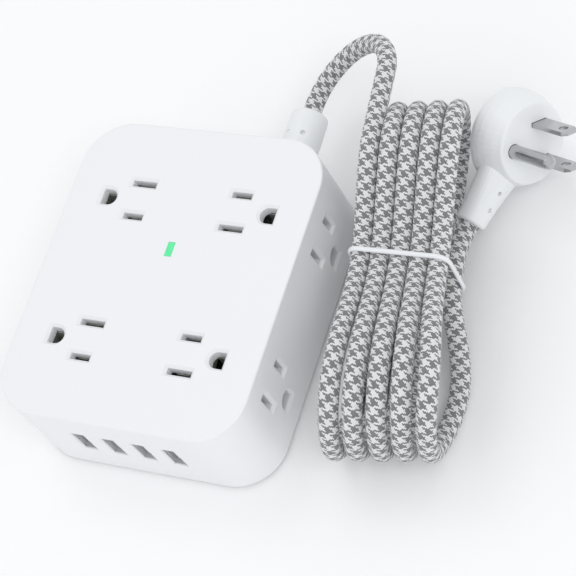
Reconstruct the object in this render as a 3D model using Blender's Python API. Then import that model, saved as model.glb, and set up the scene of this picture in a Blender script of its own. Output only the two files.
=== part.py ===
"""Surge protector block: eight grounded outlets, four USB ports, a braided lead and a flat plug.

The block stands on four rubber feet. Its origin is the middle of its footprint on the resting
surface, +Z up. The USB ports face -Y, the lead leaves through the rear wall, +Y, and its spare
length lies beside the block, +X, as a tied hank with the plug standing at its rear end.
"""
import math

import bmesh
import bpy
import numpy as np
from mathutils import Matrix, Vector

MM = 0.001

# Block shell
BLOCK_X = 93.4 * MM
BLOCK_Y = 112.6 * MM
FOOT_PROUD = 1.0 * MM
SHELL_HEIGHT = 38.6 * MM
TOP_Z = FOOT_PROUD + SHELL_HEIGHT
CORNER_R = 17.0 * MM
CORNER_STEPS = 20
WALL = 2.6 * MM
PAD = 1.8 * MM
TOP_ROUND = 0.7 * MM
FIT = 0.3 * MM
FINE_FIT = 0.15 * MM
OVERSHOOT = 0.5 * MM

# Grounded outlets (15 A, two blades and a ground pin)
BLADE_SPACING = 12.7 * MM
GROUND_OFFSET = 11.9 * MM
OUTLET_PITCH = 53.8 * MM
TOP_BLADE_X = 19.1 * MM
SIDE_BLADE_Z = 25.1 * MM
HOT_SLOT = 7.6 * MM
NEUTRAL_SLOT = 9.2 * MM
SLOT_WIDTH = 2.3 * MM
SLOT_CHAMFER = 1.0 * MM
GROUND_HOLE_R = 2.95 * MM
GROUND_FLAT = 2.7 * MM

# Contact bars behind the outlets
BAR_TOP = 4.9 * MM
BAR_BOTTOM = 10.2 * MM
SPINE = 0.8 * MM
LEAF = 0.6 * MM
BLADE_GAP = 1.9 * MM
PIN_GAP = 5.1 * MM

# USB ports
USB_PITCH = 11.67 * MM
USB_Z = 20.3 * MM
USB_MOUTH_X = 5.12 * MM
USB_MOUTH_Z = 12.5 * MM
USB_SHEET = 0.3 * MM
USB_SKIN = 0.9 * MM
USB_DEPTH = 13.5 * MM

# Base cover, screws and feet
BASE_THICK = 2.4 * MM
SCREW_X = 36.0 * MM
SCREW_Y = 45.0 * MM
POST_R = 3.6 * MM
FOOT_X = 30.0 * MM
FOOT_Y = 34.0 * MM
FOOT_R = 5.5 * MM

# Indicator
LAMP_Y = 9.7 * MM
LENS_X = 2.4 * MM
LENS_Y = 5.2 * MM

# Breaker on the rear wall
BREAKER_X = -20.0 * MM
BREAKER_Z = 20.0 * MM
BUTTON_R = 3.2 * MM
COLLAR_R = 4.7 * MM
BUTTON_INSET = 0.3 * MM

# Lead
CORD_D = 6.6 * MM
EXIT_X = 23.5 * MM
EXIT_Z = 20.0 * MM
RELIEF_R = 7.0 * MM
RELIEF_LENGTH = 20.0 * MM
RELIEF_BORE = 10.0 * MM
EXIT_Y = BLOCK_Y / 2 + RELIEF_LENGTH

# Hank: upright turns side by side, drawn in by a tie at the middle
HANK_X = 76.6 * MM
HANK_Y = 21.0 * MM
HANK_ANGLE = math.radians(8.5)
HANK_FRONT = 63.5 * MM
HANK_REAR = 57.5 * MM
FOLD_R = 20.3 * MM
WAIST_R = 8.4 * MM
HANK_LEAN = math.radians(13.0)
FIRST_TURN = -0.135
LAST_TURN = 4.5
MIDDLE_TURN = 2.0
PITCH_WAIST = 1.03 * CORD_D
PITCH_FRONT = 1.22 * CORD_D
PITCH_REAR = 1.07 * CORD_D
LAST_LOOP_SPREAD = 6.0 * MM
ENTRY_STEP = -34.2 * MM
RUN_STAND_OFF = 2.6 * MM
BEND_START = 3.0 * MM
TAIL_STEP = -3.4 * MM

# Plug
PLUG_CENTRE = Vector((107.0, 74.0, 20.0)) * MM
PLUG_AZIMUTH = math.radians(-20.0)
PLUG_TILT = math.radians(17.0)
PLUG_PIN_TURN = math.radians(43.0)
PLUG_R = 17.0 * MM
PLUG_FACE_R = 14.2 * MM
PLUG_DEPTH = 14.5 * MM
PLUG_MID = 7.4 * MM
PLUG_TAIL = 33.0 * MM
TAIL_SIDES = 36
PLUG_SIDES = 56
BLADE_LENGTH = 16.0 * MM
BLADE_WIDTH = 6.35 * MM
BLADE_THICK = 1.5 * MM
PIN_LENGTH = 19.0 * MM
PIN_R = 2.38 * MM
BLADE_LINE = -3.3 * MM


# ---------------------------------------------------------------- shared helpers

def clear_scene():
    for obj in list(bpy.data.objects):
        bpy.data.objects.remove(obj, do_unlink=True)


def material(name, colour, roughness, metallic=0.0):
    mat = bpy.data.materials.get(name)
    if mat is None:
        mat = bpy.data.materials.new(name)
        mat.use_nodes = True
        shader = mat.node_tree.nodes["Principled BSDF"]
        shader.inputs["Base Color"].default_value = (*colour, 1.0)
        shader.inputs["Roughness"].default_value = roughness
        shader.inputs["Metallic"].default_value = metallic
    return mat


def white_plastic():
    return material("white_plastic", (0.86, 0.87, 0.89), 0.38)


def brass():
    return material("brass", (0.78, 0.6, 0.3), 0.35, 1.0)


def nickel():
    return material("nickel", (0.72, 0.72, 0.72), 0.28, 1.0)


def steel():
    return material("steel", (0.6, 0.61, 0.62), 0.35, 1.0)


def board_green():
    return material("board_green", (0.05, 0.25, 0.12), 0.5)


def braid():
    return material("braid", (0.6, 0.6, 0.62), 0.9)


def lofted(rings):
    """A closed body through rings with equal numbers of points, capped at both ends."""
    mesh = bmesh.new()
    loops = [[mesh.verts.new(point) for point in ring] for ring in rings]
    for lower, upper in zip(loops, loops[1:]):
        for i in range(len(lower)):
            j = (i + 1) % len(lower)
            mesh.faces.new((lower[i], lower[j], upper[j], upper[i]))
    mesh.faces.new(list(reversed(loops[0])))
    mesh.faces.new(loops[-1])
    bmesh.ops.recalc_face_normals(mesh, faces=mesh.faces)
    return mesh


def add_body(name, mesh, mat, place=None, smooth=False):
    """Turn one bmesh into a named object, placed by a matrix."""
    data = bpy.data.meshes.new(name)
    mesh.to_mesh(data)
    mesh.free()
    if smooth:
        data.shade_smooth()
        data.set_sharp_from_angle(angle=math.radians(35))
    obj = bpy.data.objects.new(name, data)
    bpy.context.scene.collection.objects.link(obj)
    if place is not None:
        obj.matrix_world = place
    data.materials.append(mat)
    return obj


def moved(mesh, place):
    """The same bmesh, moved by a matrix."""
    bmesh.ops.transform(mesh, matrix=place, verts=mesh.verts)
    return mesh


def combine(target, tools, operation):
    """Apply one Boolean to target with several closed bmeshes that stay clear of each other."""
    joined = bmesh.new()
    for tool in tools:
        part = bpy.data.meshes.new("tool")
        tool.to_mesh(part)
        tool.free()
        joined.from_mesh(part)
        bpy.data.meshes.remove(part)
    cutter = add_body(target.name + "_tool", joined, target.data.materials[0])
    modifier = target.modifiers.new(operation, "BOOLEAN")
    modifier.operation = operation
    modifier.solver = "EXACT"
    modifier.object = cutter
    bpy.context.view_layer.objects.active = target
    bpy.ops.object.modifier_apply(modifier=modifier.name)
    cutter_mesh = cutter.data
    bpy.data.objects.remove(cutter, do_unlink=True)
    bpy.data.meshes.remove(cutter_mesh)


def axes_matrix(origin, x_axis, z_axis):
    """A frame with its origin, x axis and z axis given; y is z cross x."""
    x_axis = Vector(x_axis).normalized()
    z_axis = Vector(z_axis).normalized()
    y_axis = z_axis.cross(x_axis)
    rows = Matrix((x_axis, y_axis, z_axis)).transposed().to_4x4()
    return Matrix.Translation(Vector(origin)) @ rows


def circle(radius, z, count=24, centre=(0.0, 0.0)):
    """A ring of points round the local z axis."""
    angles = [2 * math.pi * i / count for i in range(count)]
    return [(centre[0] + radius * math.cos(a), centre[1] + radius * math.sin(a), z) for a in angles]


def turned(profile, count=24):
    """A solid of revolution about local z from (radius, z) pairs."""
    return lofted([circle(radius, z, count) for radius, z in profile])


def block(low, high):
    """An axis-aligned box between two corners."""
    corners = [(low[0], low[1]), (high[0], low[1]), (high[0], high[1]), (low[0], high[1])]
    return lofted([[(x, y, z) for x, y in corners] for z in (low[2], high[2])])


def rounded_rectangle(half_x, half_y, radius, z, steps=8):
    """A rounded rectangle of points in the plane at height z."""
    ring = []
    for quarter, (sx, sy) in enumerate(((1, 1), (-1, 1), (-1, -1), (1, -1))):
        for i in range(steps + 1):
            a = math.pi / 2 * (quarter + i / steps)
            x = sx * (half_x - radius) + radius * math.cos(a)
            y = sy * (half_y - radius) + radius * math.sin(a)
            ring.append((x, y, z))
    return ring


def tube(name, points, radius, mat, resolution=2):
    """A round rod with filled ends along a list of points."""
    data = bpy.data.curves.new(name, "CURVE")
    data.dimensions = "3D"
    data.bevel_depth = radius
    data.bevel_resolution = resolution
    data.use_fill_caps = True
    spline = data.splines.new("POLY")
    spline.points.add(len(points) - 1)
    for knot, point in zip(spline.points, points):
        knot.co = (*point, 1.0)
    obj = bpy.data.objects.new(name, data)
    bpy.context.scene.collection.objects.link(obj)
    data.materials.append(mat)
    return obj


def smooth_route(points, step):
    """Points a fixed step apart along a Catmull-Rom curve through the route's own points."""
    knots = [Vector(p) for p in points]
    padded = [2 * knots[0] - knots[1]] + knots + [2 * knots[-1] - knots[-2]]
    fine = []
    for a, b, c, d in zip(padded, padded[1:], padded[2:], padded[3:]):
        for i in range(20):
            t = i / 20
            fine.append(0.5 * ((2 * b) + (c - a) * t + (2 * a - 5 * b + 4 * c - d) * t ** 2
                               + (3 * b - a - 3 * c + d) * t ** 3))
    fine.append(knots[-1])
    return even_steps(fine, step)


def even_steps(fine, step):
    """Points spaced evenly along a finely drawn line."""
    line = np.array([tuple(p) for p in fine])
    run = np.concatenate(([0.0], np.cumsum(np.linalg.norm(np.diff(line, axis=0), axis=1))))
    count = max(2, round(run[-1] / step))
    marks = np.linspace(0.0, run[-1], count + 1)
    return [Vector(tuple(np.interp(mark, run, line[:, axis]) for axis in range(3))) for mark in marks]


# ---------------------------------------------------------------- outlets

def outlet_columns():
    """Name, centre on the face, ground direction and outward normal of each pair of outlets."""
    return (
        ("top_left", (-TOP_BLADE_X, 0, TOP_Z), (-1, 0, 0), (0, 0, 1)),
        ("top_right", (TOP_BLADE_X, 0, TOP_Z), (1, 0, 0), (0, 0, 1)),
        ("side_right", (BLOCK_X / 2, 0, SIDE_BLADE_Z), (0, 0, -1), (1, 0, 0)),
        ("side_left", (-BLOCK_X / 2, 0, SIDE_BLADE_Z), (0, 0, -1), (-1, 0, 0)),
    )


def slot_ring(length, width, centre, z):
    x, y = centre
    half_x, half_y = length / 2, width / 2
    return [(x - half_x, y - half_y, z), (x + half_x, y - half_y, z),
            (x + half_x, y + half_y, z), (x - half_x, y + half_y, z)]


def ground_ring(grow, centre, z, steps=10):
    """The ground hole: round towards the blades, flat on the far side."""
    x, y = centre
    radius = GROUND_HOLE_R + grow
    ring = [(x + GROUND_FLAT + grow, y - radius, z), (x + GROUND_FLAT + grow, y + radius, z)]
    for i in range(steps + 1):
        a = math.pi / 2 + math.pi * i / steps
        ring.append((x + radius * math.cos(a), y + radius * math.sin(a), z))
    return ring


def opening_levels():
    """Depth and growth of a chamfered opening, from outside the face to inside the pad."""
    deep = -(WALL + PAD + OVERSHOOT)
    return ((OVERSHOOT, SLOT_CHAMFER + OVERSHOOT), (-SLOT_CHAMFER, 0.0), (deep, 0.0))


def outlet_cutters(centre_y):
    """The two slots and the ground hole of one outlet, in its column's frame."""
    half = BLADE_SPACING / 2
    slots = ((HOT_SLOT, centre_y + half), (NEUTRAL_SLOT, centre_y - half))
    cutters = []
    for length, y in slots:
        rings = [slot_ring(length + 2 * grow, SLOT_WIDTH + 2 * grow, (0, y), z)
                 for z, grow in opening_levels()]
        cutters.append(lofted(rings))
    ground = [ground_ring(grow, (GROUND_OFFSET, centre_y), z) for z, grow in opening_levels()]
    cutters.append(lofted(ground))
    return cutters


def outlet_pad(centre_y):
    """The thick patch of wall behind one outlet."""
    bottom = -(WALL + PAD)
    top = -(WALL - OVERSHOOT)
    return block((-6.6 * MM, centre_y - 10.0 * MM, bottom), (16.0 * MM, centre_y + 10.0 * MM, top))


def contact_bar(spine_x, leaf_end_x, gap, leaf_centres, ends):
    """A spine along local y with a pair of leaf contacts at each centre, cut from one sheet."""
    toward = 1 if leaf_end_x > spine_x else -1
    near = spine_x + toward * SPINE / 2
    far = spine_x - toward * SPINE / 2
    outline = [(far, ends[0]), (near, ends[0])]
    for centre in leaf_centres:
        inner, outer = gap / 2, gap / 2 + LEAF
        outline += [(near, centre - outer), (leaf_end_x, centre - outer),
                    (leaf_end_x, centre - inner), (near, centre - inner),
                    (near, centre + inner), (leaf_end_x, centre + inner),
                    (leaf_end_x, centre + outer), (near, centre + outer)]
    outline += [(near, ends[1]), (far, ends[1])]
    return lofted([[(x, y, z) for x, y in outline] for z in (-BAR_BOTTOM, -BAR_TOP)])


def add_contact_bars():
    """Line, neutral and ground bars for each column of outlets."""
    half_pitch, half_blade = OUTLET_PITCH / 2, BLADE_SPACING / 2
    line_y = (-half_pitch + half_blade, half_pitch + half_blade)
    neutral_y = (-half_pitch - half_blade, half_pitch - half_blade)
    ground_y = (-half_pitch, half_pitch)
    overhang = 3.5 * MM
    bars = (
        ("line", -8.0 * MM, 3.0 * MM, BLADE_GAP, line_y),
        ("neutral", 6.6 * MM, -3.0 * MM, BLADE_GAP, neutral_y),
        ("ground", GROUND_OFFSET + 4.7 * MM, GROUND_OFFSET - 2.5 * MM, PIN_GAP, ground_y),
    )
    for column, origin, ground, outward in outlet_columns():
        place = axes_matrix(origin, ground, outward)
        for pole, spine_x, leaf_end, gap, centres in bars:
            ends = (centres[0] - overhang - gap / 2, centres[1] + overhang + gap / 2)
            mesh = contact_bar(spine_x, leaf_end, gap, centres, ends)
            add_body(column + "_" + pole + "_bar", mesh, brass(), place)


# ---------------------------------------------------------------- housing

def shell_ring(inset, z):
    return rounded_rectangle(BLOCK_X / 2 - inset, BLOCK_Y / 2 - inset, CORNER_R - inset, z,
                             steps=CORNER_STEPS)


def usb_centres():
    return [(i - 1.5) * USB_PITCH for i in range(4)]


def usb_window_cutter(x):
    """A mouth through the front skin, with a wider pocket behind it for the port's shell."""
    front = -BLOCK_Y / 2
    pocket_x = USB_MOUTH_X + 2 * USB_SHEET + 2 * FIT
    pocket_z = USB_MOUTH_Z + 2 * USB_SHEET + 2 * FIT
    mouth_x, mouth_z = USB_MOUTH_X + FIT, USB_MOUTH_Z + FIT
    sizes = ((-OVERSHOOT, mouth_x + 2 * OVERSHOOT + MM, mouth_z + 2 * OVERSHOOT + MM),
             (0.4 * MM, mouth_x, mouth_z), (USB_SKIN, mouth_x, mouth_z),
             (USB_SKIN, pocket_x, pocket_z), (WALL + OVERSHOOT, pocket_x, pocket_z))
    rings = []
    for depth, size_x, size_z in sizes:
        y = front + depth
        rings.append([(x - size_x / 2, y, USB_Z - size_z / 2), (x + size_x / 2, y, USB_Z - size_z / 2),
                      (x + size_x / 2, y, USB_Z + size_z / 2), (x - size_x / 2, y, USB_Z + size_z / 2)])
    return lofted(rings)


def rear_hole(x, z, radius):
    """A round cutter through the rear wall."""
    depth = WALL + 2 * OVERSHOOT
    start = (x, BLOCK_Y / 2 - WALL - OVERSHOOT, z)
    return moved(turned(((radius, 0.0), (radius, depth))), axes_matrix(start, (1, 0, 0), (0, 1, 0)))


def screw_places():
    return [(sx * SCREW_X, sy * SCREW_Y) for sx in (-1, 1) for sy in (-1, 1)]


def add_top_shell():
    """The white shell with its outlets, ports, lens window and screw posts."""
    low = FOOT_PROUD
    ceiling = TOP_Z - WALL
    rings = [shell_ring(WALL, ceiling), shell_ring(WALL, low), shell_ring(0.4 * MM, low),
             shell_ring(0.0, low + 0.4 * MM), shell_ring(0.0, TOP_Z - TOP_ROUND)]
    for i in (1, 2, 3):
        a = math.pi / 2 * i / 3
        rings.append(shell_ring(TOP_ROUND * (1 - math.cos(a)), TOP_Z - TOP_ROUND * (1 - math.sin(a))))
    shell = add_body("top_shell", lofted(rings), white_plastic(), smooth=True)

    posts = []
    for x, y in screw_places():
        post = turned(((POST_R, low + BASE_THICK + 2.2 * MM), (POST_R, ceiling + OVERSHOOT)), 16)
        posts.append(moved(post, Matrix.Translation((x, y, 0))))
    pads = []
    cutters = []
    for _, origin, ground, outward in outlet_columns():
        place = axes_matrix(origin, ground, outward)
        for centre_y in (-OUTLET_PITCH / 2, OUTLET_PITCH / 2):
            pads.append(moved(outlet_pad(centre_y), place))
            cutters += [moved(cutter, place) for cutter in outlet_cutters(centre_y)]
    combine(shell, posts + pads, "UNION")

    for x, y in screw_places():
        pilot = turned(((1.55 * MM, low), (1.55 * MM, 17.0 * MM)), 12)
        cutters.append(moved(pilot, Matrix.Translation((x, y, 0))))
    cutters += [usb_window_cutter(x) for x in usb_centres()]
    cutters.append(rear_hole(EXIT_X, EXIT_Z, 5.2 * MM))
    cutters.append(rear_hole(BREAKER_X, BREAKER_Z, COLLAR_R + FIT))
    lens_x, lens_y = LENS_X / 2 + FINE_FIT, LENS_Y / 2 + FINE_FIT
    cutters.append(block((-lens_x, LAMP_Y - lens_y, ceiling - OVERSHOOT),
                         (lens_x, LAMP_Y + lens_y, TOP_Z + OVERSHOOT)))
    combine(shell, cutters, "DIFFERENCE")


def board_posts():
    return [(sx * 18.0 * MM, y) for sx in (-1, 1) for y in (-14.0 * MM, 32.0 * MM)]


def add_base_cover():
    """The plate that closes the shell from below, with recesses for the screws and feet."""
    low, high = FOOT_PROUD, FOOT_PROUD + BASE_THICK
    inset = WALL + FIT
    cover = add_body("base_cover", lofted([shell_ring(inset, low), shell_ring(inset, high)]),
                     white_plastic())
    bosses = []
    for x, y in screw_places():
        boss = turned(((POST_R + 0.6 * MM, high - OVERSHOOT), (POST_R + 0.6 * MM, high + 1.8 * MM)), 16)
        bosses.append(moved(boss, Matrix.Translation((x, y, 0))))
    for x, y in board_posts():
        stand = turned(((2.0 * MM, high - OVERSHOOT), (2.0 * MM, 6.7 * MM)), 12)
        bosses.append(moved(stand, Matrix.Translation((x, y, 0))))
    combine(cover, bosses, "UNION")
    recesses = []
    for x, y in screw_places():
        seat = low + 2.2 * MM
        profile = ((3.0 * MM, 0.0), (3.0 * MM, seat), (1.55 * MM, seat), (1.55 * MM, 9 * MM))
        recesses.append(moved(turned(profile, 16), Matrix.Translation((x, y, 0))))
    for x, y in foot_places():
        recess = turned(((FOOT_R + FIT, 0.0), (FOOT_R + FIT, low + 0.9 * MM)), 20)
        recesses.append(moved(recess, Matrix.Translation((x, y, 0))))
    combine(cover, recesses, "DIFFERENCE")


def add_cover_screws():
    """Four pan-head screws that hold the base cover to the shell's posts."""
    head = FOOT_PROUD + 0.3 * MM
    profile = ((2.3 * MM, head), (2.6 * MM, head + 0.4 * MM), (2.6 * MM, head + 1.6 * MM),
               (1.2 * MM, head + 1.6 * MM), (1.2 * MM, 15.0 * MM), (0.5 * MM, 16.2 * MM))
    for number, (x, y) in enumerate(screw_places(), start=1):
        screw = add_body("cover_screw_%d" % number, turned(profile, 16), steel(), smooth=True)
        screw.location = (x, y, 0)
        slot = block((x - 1.8 * MM, y - 0.3 * MM, 0.0), (x + 1.8 * MM, y + 0.3 * MM, head + 0.8 * MM))
        combine(screw, [slot], "DIFFERENCE")


def foot_places():
    return [(sx * FOOT_X, sy * FOOT_Y) for sx in (-1, 1) for sy in (-1, 1)]


def add_feet():
    """Four rubber feet, each sunk into its recess in the base cover."""
    top = FOOT_PROUD + 0.6 * MM
    profile = ((FOOT_R - 0.5 * MM, 0.0), (FOOT_R, 0.5 * MM), (FOOT_R, top))
    rubber = material("grey_rubber", (0.45, 0.45, 0.46), 0.8)
    for number, (x, y) in enumerate(foot_places(), start=1):
        foot = add_body("foot_%d" % number, turned(profile, 20), rubber, smooth=True)
        foot.location = (x, y, 0)


def add_indicator_window():
    """The small green light window, flush with the top face, with a flange behind the wall."""
    ceiling = TOP_Z - WALL
    levels = ((ceiling - 1.3 * MM, 1.0 * MM), (ceiling - 0.3 * MM, 1.0 * MM), (ceiling - 0.3 * MM, 0.0),
              (TOP_Z, 0.0))
    rings = []
    for z, grow in levels:
        ring = slot_ring(LENS_X + 2 * grow, LENS_Y + 2 * grow, (0.0, LAMP_Y), z)
        rings.append(ring)
    lens = material("green_lens", (0.12, 0.8, 0.32), 0.2)
    add_body("indicator_window", lofted(rings), lens)


# ---------------------------------------------------------------- electronics

def add_surge_board():
    board = block((-22 * MM, -20 * MM, 7.0 * MM), (22 * MM, 38 * MM, 8.6 * MM))
    add_body("surge_board", board, board_green())


def add_varistors():
    """Three surge-absorbing discs, standing on edge on their leads."""
    blue = material("varistor_blue", (0.05, 0.12, 0.4), 0.5)
    foot_z, centre_z = 8.9 * MM, 18.4 * MM
    for number, y in enumerate((-8 * MM, 3.5 * MM, 16 * MM), start=1):
        profile = ((6.2 * MM, -2.3 * MM), (7.0 * MM, -1.5 * MM),
                   (7.0 * MM, 1.5 * MM), (6.2 * MM, 2.3 * MM))
        place = axes_matrix((0, y, centre_z), (1, 0, 0), (0, 1, 0))
        disc = add_body("varistor_%d" % number, moved(turned(profile, 20), place), blue)
        leads = []
        for x in (-3.75 * MM, 3.75 * MM):
            low, high = (x - 0.4 * MM, y - 0.4 * MM, foot_z), (x + 0.4 * MM, y + 0.4 * MM, centre_z)
            leads.append(block(low, high))
        combine(disc, leads, "UNION")


def add_board_parts():
    """Thermal fuse, filter capacitor and the indicator's lamp."""
    board_top = 8.9 * MM
    fuse = turned(((1.6 * MM, 0.0), (2.2 * MM, 0.6 * MM), (2.2 * MM, 11.4 * MM), (1.6 * MM, 12 * MM)), 16)
    place = axes_matrix((13 * MM, -3 * MM, board_top + 2.2 * MM), (1, 0, 0), (0, 1, 0))
    add_body("thermal_fuse", fuse, material("fuse_tan", (0.6, 0.45, 0.3), 0.5), place, smooth=True)

    capacitor = block((-19 * MM, -2 * MM, board_top), (-10 * MM, 16 * MM, 21 * MM))
    add_body("filter_capacitor", capacitor, material("capacitor_yellow", (0.75, 0.6, 0.12), 0.45))

    profile = ((1.5 * MM, 29 * MM), (1.5 * MM, 32.2 * MM), (1.1 * MM, 33.4 * MM), (0.4 * MM, 34 * MM))
    bulb = turned(profile, 12)
    place = Matrix.Translation((0, LAMP_Y, 0))
    lamp = add_body("indicator_led", moved(bulb, place), material("led_green", (0.1, 0.7, 0.3), 0.25))
    leads = []
    for side in (-0.9 * MM, 0.9 * MM):
        y = LAMP_Y + side
        leads.append(block((-0.25 * MM, y - 0.25 * MM, board_top), (0.25 * MM, y + 0.25 * MM, 30 * MM)))
    combine(lamp, leads, "UNION")


def usb_ring(x, size_x, size_z, y):
    half_x, half_z = size_x / 2, size_z / 2
    return [(x - half_x, y, USB_Z - half_z), (x + half_x, y, USB_Z - half_z),
            (x + half_x, y, USB_Z + half_z), (x - half_x, y, USB_Z + half_z)]


def add_usb_ports():
    """Four upright sockets: a folded metal shell, and a plastic tongue on a block inside it."""
    mouth = -BLOCK_Y / 2 + USB_SKIN + FIT
    back = mouth + USB_DEPTH
    outer_x, outer_z = USB_MOUTH_X + 2 * USB_SHEET, USB_MOUTH_Z + 2 * USB_SHEET
    ivory = material("tongue_plastic", (0.82, 0.83, 0.85), 0.5)
    for number, x in enumerate(usb_centres(), start=1):
        rings = [usb_ring(x, outer_x, outer_z, back), usb_ring(x, outer_x, outer_z, mouth),
                 usb_ring(x, USB_MOUTH_X, USB_MOUTH_Z, mouth),
                 usb_ring(x, USB_MOUTH_X, USB_MOUTH_Z, back - USB_SHEET)]
        add_body("usb_port_%d" % number, lofted(rings), steel())
        base_front = back - USB_SHEET - FIT - 4 * MM
        base_x, base_z = USB_MOUTH_X - 2 * FINE_FIT, USB_MOUTH_Z - 2 * FINE_FIT
        tongue_x, tongue_z = 1.84 * MM, 11.1 * MM
        rings = [usb_ring(x, base_x, base_z, back - USB_SHEET - FIT),
                 usb_ring(x, base_x, base_z, base_front),
                 usb_ring(x - 0.3 * MM, tongue_x, tongue_z, base_front),
                 usb_ring(x - 0.3 * MM, tongue_x, tongue_z, mouth + 1.0 * MM)]
        add_body("usb_tongue_%d" % number, lofted(rings), ivory)


def add_usb_supply():
    """The USB power board behind the ports, with its transformer and smoothing capacitor."""
    front = -BLOCK_Y / 2 + USB_SKIN + USB_DEPTH + 2 * FIT
    back = front + 1.6 * MM
    add_body("usb_board", block((-26 * MM, front, 6 * MM), (26 * MM, back, 34 * MM)), board_green())
    core = block((-8 * MM, back + FIT, 5 * MM), (8 * MM, back + 14 * MM, 17 * MM))
    add_body("usb_transformer", core, material("ferrite", (0.09, 0.09, 0.1), 0.6))
    can = turned(((3.6 * MM, 0.0), (4.0 * MM, 0.5 * MM), (4.0 * MM, 11.5 * MM), (3.6 * MM, 12 * MM)), 16)
    place = axes_matrix((15 * MM, back + FIT, 10 * MM), (1, 0, 0), (0, 1, 0))
    add_body("usb_capacitor", can, material("can_black", (0.06, 0.06, 0.07), 0.4), place, smooth=True)


def add_breaker():
    """The overload breaker behind the rear wall, and the reset button that slides in it."""
    rear = BLOCK_Y / 2
    inner = rear - WALL - FIT
    outer = rear - BUTTON_INSET
    black = material("breaker_black", (0.05, 0.05, 0.055), 0.45)
    case = block((BREAKER_X - 7 * MM, 41.6 * MM, 6 * MM), (BREAKER_X + 7 * MM, inner, 34 * MM))
    body = add_body("breaker_body", case, black)
    to_rear = axes_matrix((BREAKER_X, 0, BREAKER_Z), (1, 0, 0), (0, 1, 0))
    collar = turned(((COLLAR_R, inner - MM), (COLLAR_R, outer)))
    combine(body, [moved(collar, to_rear)], "UNION")
    bore = turned(((BUTTON_R + FIT, 43.4 * MM), (BUTTON_R + FIT, rear + MM)))
    combine(body, [moved(bore, to_rear)], "DIFFERENCE")

    profile = ((BUTTON_R, -11.0 * MM), (BUTTON_R, -0.4 * MM), (BUTTON_R - 0.4 * MM, 0.0))
    place = axes_matrix((BREAKER_X, outer, BREAKER_Z), (1, 0, 0), (0, 1, 0))
    plastic = material("button_white", (0.83, 0.84, 0.85), 0.4)
    add_body("reset_button", turned(profile), plastic, place, smooth=True)


def add_inner_leads():
    """Insulated wires from the lead's end to the breaker, the board and the ground bar."""
    black = material("line_black", (0.04, 0.04, 0.04), 0.5)
    white = material("neutral_white", (0.8, 0.8, 0.8), 0.5)
    green = material("ground_green", (0.05, 0.3, 0.1), 0.5)
    routes = (
        ("line_lead", black, ((21.2, 50.4, 17.5), (20.4, 48.6, 13.5), (13, 47, 11), (0, 46.6, 11),
                              (-8, 46.6, 12), (-12.6, 46.6, 12.5))),
        ("neutral_lead", white, ((23.8, 50.4, 16.2), (23.4, 48, 11.5), (21, 43, 8.6), (19, 38.4, 7.8))),
        ("ground_lead", green, ((26.6, 50.4, 18.5), (28, 47, 13), (31, 42, 9.8), (35.5, 38, 8.8),
                                (39, 34.2, 8.5))),
        ("breaker_lead", black, ((-20, 40.9, 12), (-20, 39.6, 12), (-19, 38.9, 10.5), (-18, 38.7, 9.2))),
    )
    for name, mat, points in routes:
        scaled = [Vector(point) * MM for point in points]
        tube(name, smooth_route(scaled, 1.5 * MM), 1.1 * MM, mat)


# ---------------------------------------------------------------- lead and hank

def ramp(t):
    t = min(max(t, 0.0), 1.0)
    return 0.5 - 0.5 * math.cos(math.pi * t)


def turn_shape(turn):
    """Place along the hank and height above its middle plane, for one turn of the cord.

    A whole turn starts on top at the tie, goes forward over the front fold, back underneath, and
    over the rear fold. The tie draws the upper and lower runs together.
    """
    phase = turn % 1.0
    forward = phase < 0.5
    half_length = HANK_FRONT if forward else HANK_REAR
    straight = half_length - FOLD_R
    along = (phase if forward else phase - 0.5) * 2 * (2 * straight + math.pi * FOLD_R)
    if along < straight:
        s, side = along, 1
    elif along < straight + math.pi * FOLD_R:
        a = (along - straight) / FOLD_R
        s, height = straight + FOLD_R * math.sin(a), FOLD_R * math.cos(a)
        return (s, height) if forward else (-s, -height)
    else:
        s, side = 2 * straight + math.pi * FOLD_R - along, -1
    height = side * (WAIST_R + (FOLD_R - WAIST_R) * ramp(s / straight))
    return (s, height) if forward else (-s, -height)


def turn_pitch(s):
    """Distance between neighbouring turns at a place along the hank."""
    if s > 0:
        return PITCH_WAIST + (PITCH_FRONT - PITCH_WAIST) * ramp(s / HANK_FRONT)
    return PITCH_WAIST + (PITCH_REAR - PITCH_WAIST) * ramp(-s / HANK_REAR)


def hank_place(s, w, height):
    """World point for a place along, across and above the middle of the hank."""
    w += height * math.sin(HANK_LEAN)
    z = CORD_D / 2 + (FOLD_R + height) * math.cos(HANK_LEAN)
    x = HANK_X + s * math.sin(HANK_ANGLE) + w * math.cos(HANK_ANGLE)
    y = HANK_Y - s * math.cos(HANK_ANGLE) + w * math.sin(HANK_ANGLE)
    return Vector((x, y, z))


def front_spread(s):
    """How far the last turn's lower run stands off sideways, at a place along the hank."""
    along = min(max(s / (HANK_FRONT + 4 * MM), 0.0), 1.0)
    return LAST_LOOP_SPREAD * math.sin(math.pi * along) ** 2


def last_loop_shift(turn, s):
    """The last turn's lower run stands off to the side at the front."""
    return front_spread(s) * ramp((turn - 4.02) / 0.42)


def hank_point(turn):
    """World point of the cord's centre line after a number of turns."""
    s, height = turn_shape(turn)
    w = (turn - MIDDLE_TURN) * turn_pitch(s) + last_loop_shift(turn, s)
    return hank_place(s, w, height)


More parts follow.
